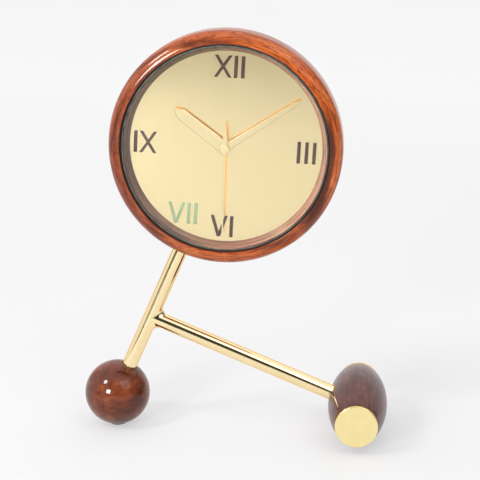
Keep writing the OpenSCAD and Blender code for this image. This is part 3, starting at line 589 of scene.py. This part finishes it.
def stamped_hand(name, outline, turn, z, thickness, chamfer, crown, body, nodes):
    """A flat hand. The outline is (right, up) in mm, anticlockwise, with up towards the tip."""
    deselect_all()
    bpy.ops.mesh.primitive_circle_add(vertices=len(outline), fill_type="NGON")
    piece = bpy.context.active_object
    for vertex, (x, y) in zip(piece.data.vertices, outline):
        vertex.co = (x * MM, y * MM, 0)
    bpy.ops.object.mode_set(mode="EDIT")
    bpy.ops.mesh.select_all(action="SELECT")
    bpy.ops.mesh.extrude_region_move(
        TRANSFORM_OT_translate={"value": (0, 0, (thickness - crown) * MM)})
    bpy.ops.mesh.inset(thickness=chamfer * MM, depth=0)
    bpy.ops.transform.translate(value=(0, 0, crown * MM))
    bpy.ops.mesh.select_all(action="SELECT")
    bpy.ops.mesh.normals_make_consistent(inside=False)
    bpy.ops.object.mode_set(mode="OBJECT")
    clockwise = Matrix.Rotation(-math.radians(turn + DIAL_TURN), 4, "Z")
    place = HEAD_PLACE @ clockwise @ Matrix.Translation((0, 0, z * MM))
    settle(piece, name, place, body, nodes, angle=14)
    piece.data.materials.append(dial_brass)
    piece.data.materials.append(edge_gold)
    piece.data.materials.append(back_gold)
    for face in piece.data.polygons:
        face.material_index = 0 if face.normal.y < -0.98 else 2 if face.normal.y > 0.98 else 1


def hub_arc(radius, start, end, count=16):
    """Points on a circle about the centre, angles in degrees from straight up, anticlockwise."""
    return [(-radius * math.sin(math.radians(start + (end - start) * i / count)),
             radius * math.cos(math.radians(start + (end - start) * i / count)))
            for i in range(count + 1)]


def tapered_hand(length, root, end, point, boss):
    """A boss at the root, straight sides that taper to a shoulder, and a point."""
    meet = math.degrees(math.asin(root / 2 / boss)) + 3
    return ([(root / 2 * 0.99, boss * math.cos(math.radians(meet))), (end / 2, length - point), (0, length),
             (-end / 2, length - point)]
            + hub_arc(boss, meet, 360 - meet, 28))


hour_turn = 30 * SHOWN_HOUR + SHOWN_MINUTE / 2
stamped_hand("hour_hand_brass", tapered_hand(54.7, 10.5, 9.24, 6.8, 6.6),
             hour_turn, DIAL_Z + 4.2, 0.5, 0.36, 0.25, "hours", ["hour_hand"])
stamped_hand("minute_hand_brass", tapered_hand(77.2, 6.0, 3.42, 4.0, 4.6),
             6 * SHOWN_MINUTE, DIAL_Z + 6, 0.5, 0.32, 0.25, "minutes", ["minute_hand"])
sweep = [(0.9, 0), (0.55, 76.4), (-0.55, 76.4), (-0.9, 0),
         (-2.8, -0.5), (-0.5, -21.4), (0.5, -21.4), (2.8, -0.5)]
stamped_hand("second_hand_brass", sweep, 6 * SHOWN_SECOND, DIAL_Z + 7.6, 0.4, 0.22, 0.12,
             "seconds", ["second_hand"])

# %% [markdown]
# ## The middle of the dial
# A threaded bush comes through the dial and a brass washer and nut hold the movement to it.
# The second hand has a small round hub with a dimple in its middle.

# %% Hub, washer and nut
hub = turned(
    "second_hand_hub",
    [(0, DIAL_Z + 7.9), (3.9, DIAL_Z + 7.9), (3.9, DIAL_Z + 8.5), (1.6, DIAL_Z + 8.5),
     (1.3, DIAL_Z + 8.2), (0, DIAL_Z + 8.2)],
    HEAD_PLACE, "seconds", rounds=[(2, 0.25), (3, 0.1)], steps=64)
hub.data.materials.append(hub_brass)
washer = turned(
    "dial_washer",
    [(4.1, DIAL_Z), (6.8, DIAL_Z), (6.8, DIAL_Z + 0.5), (4.1, DIAL_Z + 0.5)],
    HEAD_PLACE, "stand", ["bush_washer"], rounds=[(2, 0.2)], steps=96)
nut = edge_broken("bush_nut", "dial_nut", "stand", edge=0.2)
bush = edge_broken("threaded_bush", "dial_bush", "stand", edge=0.1)
for piece in (washer, nut, bush):
    piece.data.materials.append(bright_brass)

# %% [markdown]
# ## Rods
# The rods are drawn brass bar, polished until they mirror the room. Each is turned from an
# outline along its own line, with a little chamfer at the ends that go into the wood.

# %% Model the rods
def rod(name, start, direction, low, high, node):
    piece = turned(name, [(0, low), (ROD_R / MM, low), (ROD_R / MM, high), (0, high)],
                   lying_along(start, direction), "stand", [node], rounds=[(1, 0.4), (2, 0.4)], steps=96)
    piece.data.materials.append(bright_brass)


SEAT = 2.5
main_span = (HEAD - BALL).length / MM
branch_span = (BARREL - TEE).length / MM
rod("upright_rod", BALL, MAIN_DIR, BALL_R / MM - SEAT, main_span - RING_R + SEAT, "main_rod")
rod("side_rod", TEE, BRANCH_DIR, 1.0, branch_span - BARREL_R / MM + SEAT, "branch_rod")

# %% [markdown]
# ## The brazed joint
# Where the rods meet, the joint is filled and polished to a smooth hollow. A ball rolled
# round the corner between two equal rods touches both, and the surface it leaves is the
# fillet. A flat grid has just the right number of points: one direction runs round the
# corner, the other across the hollow and back through the hidden side. Each point is then
# moved to its place by the geometry of the rolling ball.

# %% Model the fillets
FILLET = 6.5 * MM
ACROSS = Vector((0, 1, 0))


def facing(along, towards, turn):
    """A rod's outward normal at a turn round it, on the side of the other rod."""
    square = (towards - towards.dot(along) * along).normalized()
    return math.sin(turn) * square + math.cos(turn) * ACROSS


def fillet_point(up_dir, turn, share):
    """share 0 to 1 runs over the hollow, and past 1 goes back through the corner."""
    spread_out = (up_dir + BRANCH_DIR) / up_dir.cross(BRANCH_DIR).length
    if share > 1:
        return TEE + ROD_R * math.cos(turn) * ACROSS + (ROD_R * 0.97) * math.sin(turn) * spread_out
    ball = TEE + (ROD_R + FILLET) * (math.cos(turn) * ACROSS + math.sin(turn) * spread_out)
    a, b = facing(up_dir, BRANCH_DIR, turn), facing(BRANCH_DIR, up_dir, turn)
    gap = math.acos(max(-1, min(1, a.dot(b))))
    if gap < 1e-6:
        return ball - FILLET * a
    blend = (math.sin((1 - share) * gap) * a + math.sin(share * gap) * b) / math.sin(gap)
    return ball - FILLET * blend


def fillet(name, up_dir, nodes):
    columns, rows = 72, 14
    deselect_all()
    bpy.ops.mesh.primitive_grid_add(x_subdivisions=columns, y_subdivisions=rows, size=2)
    piece = bpy.context.active_object
    for vertex in piece.data.vertices:
        turn = math.pi * (vertex.co.x + 1) / 2
        row = round((vertex.co.y + 1) / 2 * rows)
        if row == rows:
            row = 0
        share = row / (rows - 2) if row <= rows - 2 else 2
        vertex.co = fillet_point(up_dir, turn, share)
    work_on(piece)
    bpy.ops.object.mode_set(mode="EDIT")
    bpy.ops.mesh.select_all(action="SELECT")
    bpy.ops.mesh.remove_doubles(threshold=2e-6)
    bpy.ops.mesh.normals_make_consistent(inside=False)
    bpy.ops.object.mode_set(mode="OBJECT")
    settle(piece, name, Matrix.Identity(4), "stand", nodes, angle=40)
    piece.data.materials.append(bright_brass)


fillet("upper_braze", MAIN_DIR, ["braze_fillet"])
fillet("lower_braze", -MAIN_DIR, [])

# %% [markdown]
# ## Foot woods
# The ball is a brown, mottled wood under thick lacquer. The barrel is a cooler purple-brown
# with the grain along it. Both are built the same way: a stretched noise for the grain, a
# slow one for the mottle, and fine dark pores.


# %% Wood for the feet
def foot_wood(name, centre, stretch, turn, dark, middle_tone, light, pores):
    material, tree, shader = new_finish(name, roughness=0.4, coat=0.7, coat_roughness=0.025)
    grain = noise(tree, place_from(tree, centre, stretch, turn), 1.0, 7, 0.62, 1.2)
    mottle = noise(tree, place_from(tree, centre, (48, 40, 56)), 1.0, 4, 0.55, 0.8)
    fleck = noise(tree, place_from(tree, centre, [c * 4 for c in stretch], turn), 1.0, 3, 0.6)
    wood = ramp(tree, grain, (0.3, dark), (0.5, middle_tone), (0.72, light))
    wood = mix(tree, ramp(tree, mottle, (0.38, grey(0.7)), (0.6, grey(0.0))), wood, dark)
    wood = mix(tree, pores, wood, ramp(tree, fleck, (0.36, grey(0.2)), (0.55, grey(1.0))), "MULTIPLY")
    tree.links.new(wood, shader.inputs["Base Color"])
    bump(tree, shader, fleck, 0.1, 0.1)
    return material


ball_wood = foot_wood("ball wood", BALL, (38, 38, 90), (10, 35, 0),
                      tone(72, 28, 12), tone(122, 54, 26), tone(156, 82, 44), 0.3)
barrel_wood = foot_wood("barrel wood", BARREL, (150, 9, 150), (0, 0, 0),
                        tone(64, 32, 28), tone(98, 50, 44), tone(128, 74, 64), 0.15)
barrel_wood.node_tree.nodes["Principled BSDF"].inputs["Coat Weight"].default_value = 0.5
print("foot woods ready")

# %% [markdown]
# ## The ball foot
# The ball is turned about the line of the rod, because the rod goes straight to its centre.
# The outline starts at the bottom of the socket, comes up its wall, breaks the edge and
# goes round the ball. A plane then cuts the small flat that the felt pad is glued to.


# %% Model the ball foot
def cut_flat(piece, height):
    """Cuts a piece off level below a height and closes the cut."""
    work_on(piece)
    bpy.ops.object.mode_set(mode="EDIT")
    bpy.ops.mesh.select_all(action="SELECT")
    bpy.ops.mesh.bisect(plane_co=(0, 0, height), plane_no=(0, 0, 1), use_fill=True, clear_inner=True)
    bpy.ops.object.mode_set(mode="OBJECT")
    bpy.ops.object.shade_smooth_by_angle(angle=math.radians(35))


SOCKET_R = ROD_R / MM + 0.25
ball_mm = BALL_R / MM
socket_angle = math.degrees(math.asin(SOCKET_R / ball_mm))
ball_outline = [(0, ball_mm - SEAT - 0.3), (SOCKET_R, ball_mm - SEAT - 0.3)]
ball_outline += [(ball_mm * math.sin(math.radians(a)), ball_mm * math.cos(math.radians(a)))
                 for a in [socket_angle + (180 - socket_angle) * i / 90 for i in range(91)]]
ball = turned("ball", ball_outline[::-1], lying_along(BALL, MAIN_DIR), "stand", ["ball_foot"],
              rounds=[(len(ball_outline) - 3, 0.25)], steps=160)
cut_flat(ball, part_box("ball_foot")[0].z)
ball.data.materials.append(ball_wood)

# %% [markdown]
# ## The barrel foot
# The barrel's side is one long arc. Its ends are sunk a little for the brass caps. The
# rod's hole is cut with a cylinder a hair wider than the rod, which leaves the fine dark
# line seen round a real joint, and a plane cuts the flat for the pad.

# %% Model the barrel foot
barrel_mm = BARREL_R / MM
barrel_half = (barrel_high.y - barrel_low.y) / 2 / MM
END_R = 18.6
CAP_R = 18.4
CAP_SUNK = 0.5
CAP_T = 3.0
sag = barrel_mm - END_R
bow = (barrel_half ** 2 + sag ** 2) / (2 * sag)
barrel_outline = [(0, -barrel_half + CAP_SUNK), (CAP_R, -barrel_half + CAP_SUNK), (CAP_R, -barrel_half)]
barrel_outline += [(barrel_mm - bow + math.sqrt(bow ** 2 - y ** 2), y)
                   for y in [barrel_half * (i / 32 - 1) for i in range(65)]]
barrel_outline += [(CAP_R, barrel_half), (CAP_R, barrel_half - CAP_SUNK), (0, barrel_half - CAP_SUNK)]
BARREL_PLACE = Matrix.Translation(BARREL) @ Matrix.Rotation(math.radians(90), 4, "X")
barrel = turned("barrel", barrel_outline, BARREL_PLACE, "stand", ["barrel_foot"],
                rounds=[(3, 0.35), (67, 0.35)], steps=160)
cut_flat(barrel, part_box("barrel_foot")[0].z)
deselect_all()
bpy.ops.mesh.primitive_cylinder_add(vertices=96, radius=SOCKET_R * MM, depth=30 * MM)
drill = bpy.context.active_object
drill.matrix_world = lying_along(TEE, BRANCH_DIR) @ Matrix.Translation(
    (0, 0, (branch_span - barrel_mm + SEAT - 15 + 0.3) * MM))
work_on(barrel)
cut = barrel.modifiers.new("rod socket", "BOOLEAN")
cut.object = drill
cut.operation = "DIFFERENCE"
cut.solver = "EXACT"
bpy.ops.object.modifier_apply(modifier=cut.name)
bpy.data.objects.remove(drill)
bpy.ops.object.shade_smooth_by_angle(angle=math.radians(35))
barrel.data.materials.append(barrel_wood)
print("barrel", len(barrel.data.polygons), "faces")

# %% [markdown]
# ## Brass ends and pads
# A brass disc with a small bevel closes each end of the barrel. The pads are felt.

# %% Model the caps and dress the pads
def end_cap(name, node, side):
    height = barrel_half - CAP_SUNK
    place = BARREL_PLACE if side > 0 else BARREL_PLACE @ Matrix.Rotation(math.pi, 4, "X")
    outside = barrel_half + CAP_T
    piece = turned(name, [(0, height), (CAP_R, height), (CAP_R, outside), (0, outside)],
                   place, "stand", [node], rounds=[(2, 0.6)], steps=160)
    piece.data.materials.append(cap_brass)


cap_brass = polished_brass("cap brass", (1.0, 0.84, 0.42, 1), 0.2)
end_cap("front_end_cap", "front_cap", 1)
end_cap("rear_end_cap", "rear_cap", -1)

felt, tree, shader = new_finish("black felt", tone(26, 22, 22), roughness=0.95)
fibres = noise(tree, place_from(tree, (0, 0, 0)), 1400, 4, 0.7, 1.5)
tree.links.new(ramp(tree, fibres, (0.3, tone(14, 12, 12)), (0.7, tone(52, 46, 44))),
               shader.inputs["Base Color"])
bump(tree, shader, fibres, 0.6, 0.3)
for node in ("ball_pad", "barrel_pad"):
    piece = edge_broken(node, node + "_felt", "stand", edge=0.25)
    piece.data.materials.append(felt)

# %% [markdown]
# ## The back
# Behind, a plain wooden panel closes the head, held by four screws. A square window in it
# shows the movement: black moulded plastic, a setting knob and the battery. These are
# flat-sided parts, so breaking the edges of the CAD shapes is enough.


# %% Finishes for the back and the works
def moulded(name, colour, roughness=0.5, grain_size=1200):
    material, tree, shader = new_finish(name, colour, roughness=roughness)
    spark = noise(tree, place_from(tree, (0, 0, 0)), grain_size, 3, 0.6)
    tree.links.new(mix(tree, ramp(tree, spark, (0.35, grey(0)), (0.65, grey(0.3))), colour,
                       [min(1, c * 1.5 + 0.004) for c in colour[:3]] + [1]), shader.inputs["Base Color"])
    tree.links.new(spread(tree, spark, roughness * 0.8, roughness * 1.25), shader.inputs["Roughness"])
    bump(tree, shader, spark, 0.2, 0.05)
    return material


def plain_metal(name, colour, roughness=0.25):
    material, tree, shader = new_finish(name, colour, metallic=1.0, roughness=roughness)
    haze = noise(tree, place_from(tree, (0, 0, 0)), 500, 4, 0.6)
    tree.links.new(spread(tree, haze, roughness * 0.7, roughness * 1.4), shader.inputs["Roughness"])
    tree.links.new(mix(tree, haze, [c * 0.85 for c in colour[:3]] + [1], colour), shader.inputs["Base Color"])
    return material


panel_wood = foot_wood("panel wood", HEAD, (7, 60, 110), (0, 0, 0),
                       tone(84, 50, 32), tone(132, 88, 60), tone(164, 118, 84), 0.3)
panel_wood.node_tree.nodes["Principled BSDF"].inputs["Coat Weight"].default_value = 0.4
panel_wood.node_tree.nodes["Principled BSDF"].inputs["Coat Roughness"].default_value = 0.25
black_plastic = moulded("black plastic", tone(30, 30, 31), 0.42)
gear_plastic = moulded("natural gear plastic", tone(224, 222, 208), 0.45)
board_green = moulded("circuit board", tone(132, 104, 60), 0.5)
dull_steel = plain_metal("bright steel", tone(196, 196, 200))
copper_wire = plain_metal("copper wire", tone(196, 112, 66), 0.35)
battery_sleeve, tree, shader = new_finish("battery sleeve", tone(150, 104, 44), metallic=0.6,
                                          roughness=0.3, coat=0.6)
dents = noise(tree, place_from(tree, middle("battery"), (40, 300, 300)), 1.0, 4, 0.6)
tree.links.new(ramp(tree, dents, (0.3, tone(128, 84, 34)), (0.7, tone(176, 128, 62))),
               shader.inputs["Base Color"])

# %% [markdown]
# ### Panel, screws, case and battery
# Each row gives a CAD piece, its new name, its finish, its slot and how far its edges are
# broken, in mm.

# %% The back's pieces
for node, name, material, slot, edge in (
        ("back_panel", "rear_panel", panel_wood, "inner_wood", 0.3),
        ("back_screws", "panel_screws", bright_brass, "brass", 0.08),
        ("movement_case", "works_case", black_plastic, "black_plastic", 0.15),
        ("movement_cover", "works_cover", black_plastic, "black_plastic", 0.15),
        ("battery", "cell", battery_sleeve, "battery", 0.3),
        ("contact_positive", "positive_leaf", dull_steel, "steel", 0.05),
        ("contact_negative", "negative_leaf", dull_steel, "steel", 0.05)):
    piece = edge_broken(node, name, "stand", edge=edge)
    piece.data.materials.append(material)
knob = edge_broken("setting_knob", "time_knob", "setting", edge=0.12)
knob.data.materials.append(black_plastic)

# %% [markdown]
# ## What stays as the CAD made it
# The pieces inside the movement are never seen with the clock whole. They keep their CAD
# shapes, and each gets the finish of its record slot so that an opened clock looks right.

# %% Dress the hidden pieces
slot_finish = {
    "ring_wood": ring_wood, "inner_wood": panel_wood, "ball_wood": ball_wood, "barrel_wood": barrel_wood,
    "board_wood": panel_wood, "dial_brass": dial_brass, "hand_brass": dial_brass, "brass": bright_brass,
    "dark_enamel": dark_enamel, "pale_enamel": pale_enamel, "glass": glass_clear, "rubber": gasket_rubber,
    "felt": felt, "steel": dull_steel, "copper": copper_wire, "battery": battery_sleeve,
    "circuit": board_green, "gear_plastic": gear_plastic, "black_plastic": black_plastic}
for part in frame["record"]["subparts"]:
    node = frame["nodes"][part["node"]]
    node.data.materials.clear()
    node.data.materials.append(slot_finish[part["material_slot"]])

# %% [markdown]
# ## The studio
# The clock stands on a wide pale table. Polished brass shows the whole room, so the room
# matters as much as the lamps: a pale table in front gives the dial and the caps their
# cream, a dark room above it gives the rods their dark line, a wide soft light overhead
# lights the table evenly, and a square light far to the left makes the ring's bright streak.
# The table glows a little, less towards the front, as the light over it falls off there.

# %% The table
deselect_all()
bpy.ops.mesh.primitive_plane_add(size=24, location=(0, 0, 0))
floor = bpy.context.active_object
floor.name = "table"
pale, tree, shader = new_finish("pale table", tone(158, 158, 159), roughness=0.7)
shader.inputs["Specular IOR Level"].default_value = 0.1
split = tree.nodes.new("ShaderNodeSeparateXYZ")
tree.links.new(place_from(tree, (0, 0, 0)), split.inputs["Vector"])
back_to_front = calculate(tree, "MULTIPLY_ADD", split.outputs["Y"], 0.2, 0.6)
glow = ramp(tree, back_to_front, (0.06, grey(0.15)), (0.28, grey(0.35)), (0.54, grey(0.475)),
            (0.66, grey(0.52)), (1.0, grey(0.60)))
tree.links.new(glow, shader.inputs["Emission Color"])
shader.inputs["Emission Strength"].default_value = 1.0
tree.links.new(ramp(tree, noise(tree, place_from(tree, (0, 0, 0)), 3, 2, 0.5), (0.3, tone(157, 157, 158)),
                    (0.7, tone(159, 159, 160))), shader.inputs["Base Color"])
floor.data.materials.append(pale)
print("table", floor.dimensions.x, "m wide")

# %% [markdown]
# ### Lights
# The wide overhead light does most of the work. Three small ones only make highlights: one
# for the ring, one for the ball, and a window that the ball's right side mirrors.


# %% Lights
def softbox(name, centre, aim, width, height, power, shape="RECTANGLE"):
    light = bpy.data.lights.new(name, "AREA")
    light.shape = shape
    light.size = width
    light.size_y = height
    light.energy = power
    lamp = bpy.data.objects.new(name, light)
    bpy.context.collection.objects.link(lamp)
    lamp.location = centre
    lamp.rotation_euler = (Vector(aim) - Vector(centre)).to_track_quat("-Z", "Y").to_euler()


sky = bpy.data.lights.new("wide overhead", "SUN")
sky.energy = 1.75
sky.angle = math.radians(110)
overhead = bpy.data.objects.new("wide overhead", sky)
bpy.context.collection.objects.link(overhead)
overhead.rotation_euler = Vector((-0.08, 0.16, 0.98)).to_track_quat("Z", "Y").to_euler()
softbox("ring key", (-1.00, -2.02, 0.75), HEAD, 0.56, 0.52, 31)
softbox("ball key", BALL + 1.6 * Vector((-0.553, -0.455, 0.698)), BALL, 0.34, 0.34, 8, shape="DISK")
softbox("window", BALL + 2.0 * Vector((0.56, -0.52, 0.643)), BALL, 1.1, 1.1, 6)
world = bpy.data.worlds.new("studio")
bpy.context.scene.world = world
world.use_nodes = True
world.node_tree.nodes["Background"].inputs["Color"].default_value = (1, 1, 1, 1)
world.node_tree.nodes["Background"].inputs["Strength"].default_value = 0.25
print("lights", [light.name for light in bpy.data.lights])

# %% [markdown]
# ### Cards
# Plain cards stand outside the view. The dark ones are mirrored as dark lines in the rods
# and as shade in the lacquer, and the pale ones as the walls of a light room.


# %% Cards that the brass and the lacquer mirror
def room_card(name, centre, aim, width, height, level, glow=0.0):
    deselect_all()
    bpy.ops.mesh.primitive_plane_add(size=1)
    card = bpy.context.active_object
    card.name = name
    card.scale = (width, height, 1)
    card.location = centre
    card.rotation_euler = (Vector(aim) - Vector(centre)).to_track_quat("Z", "Y").to_euler()
    bpy.ops.object.transform_apply(location=True, rotation=True, scale=True)
    finish, tree, shader = new_finish(name, grey(level), roughness=1.0)
    shader.inputs["Emission Color"].default_value = (1, 1, 1, 1)
    shader.inputs["Emission Strength"].default_value = glow
    card.data.materials.append(finish)


room_card("dark room", (-2.2, -3.0, 2.3), (-2.2, 0, 1.8), 2.8, 4.2, 0.02)
room_card("dark shelf", (0.8, -3.2, 1.35), (0.8, 0, 1.2), 2.8, 1.5, 0.02)
room_card("dark cloth", (-0.85, -0.8, 0.003), (-0.85, -0.8, 1.0), 0.7, 0.7, 0.03)
room_card("left wall", (-2.6, 0.2, 1.2), (0, 0.2, 1.0), 3.0, 2.4, 0.3, 0.7)
room_card("backdrop", (0, 6.0, 2.0), (0, 0, 1.5), 12.0, 4.0, 0.3, 0.7)

# %% [markdown]
# ## Camera
# A long lens from a little above, slightly to the right of the clock.

# %% Camera
camera_data = bpy.data.cameras.new("camera")
camera_data.lens = 104.7
camera_data.sensor_width = 36
camera_data.clip_start = 0.05
camera_data.clip_end = 30
camera = bpy.data.objects.new("camera", camera_data)
bpy.context.collection.objects.link(camera)
camera.location = HEAD + Vector((0.12997, -1.1639, 0.2266))
camera.rotation_euler = (math.radians(90 - 14.78), 0, math.radians(5.79))
bpy.context.scene.camera = camera
bpy.context.scene.view_settings.view_transform = "Standard"
print("camera", round((camera.location - HEAD).length, 3), "m from the head's centre")
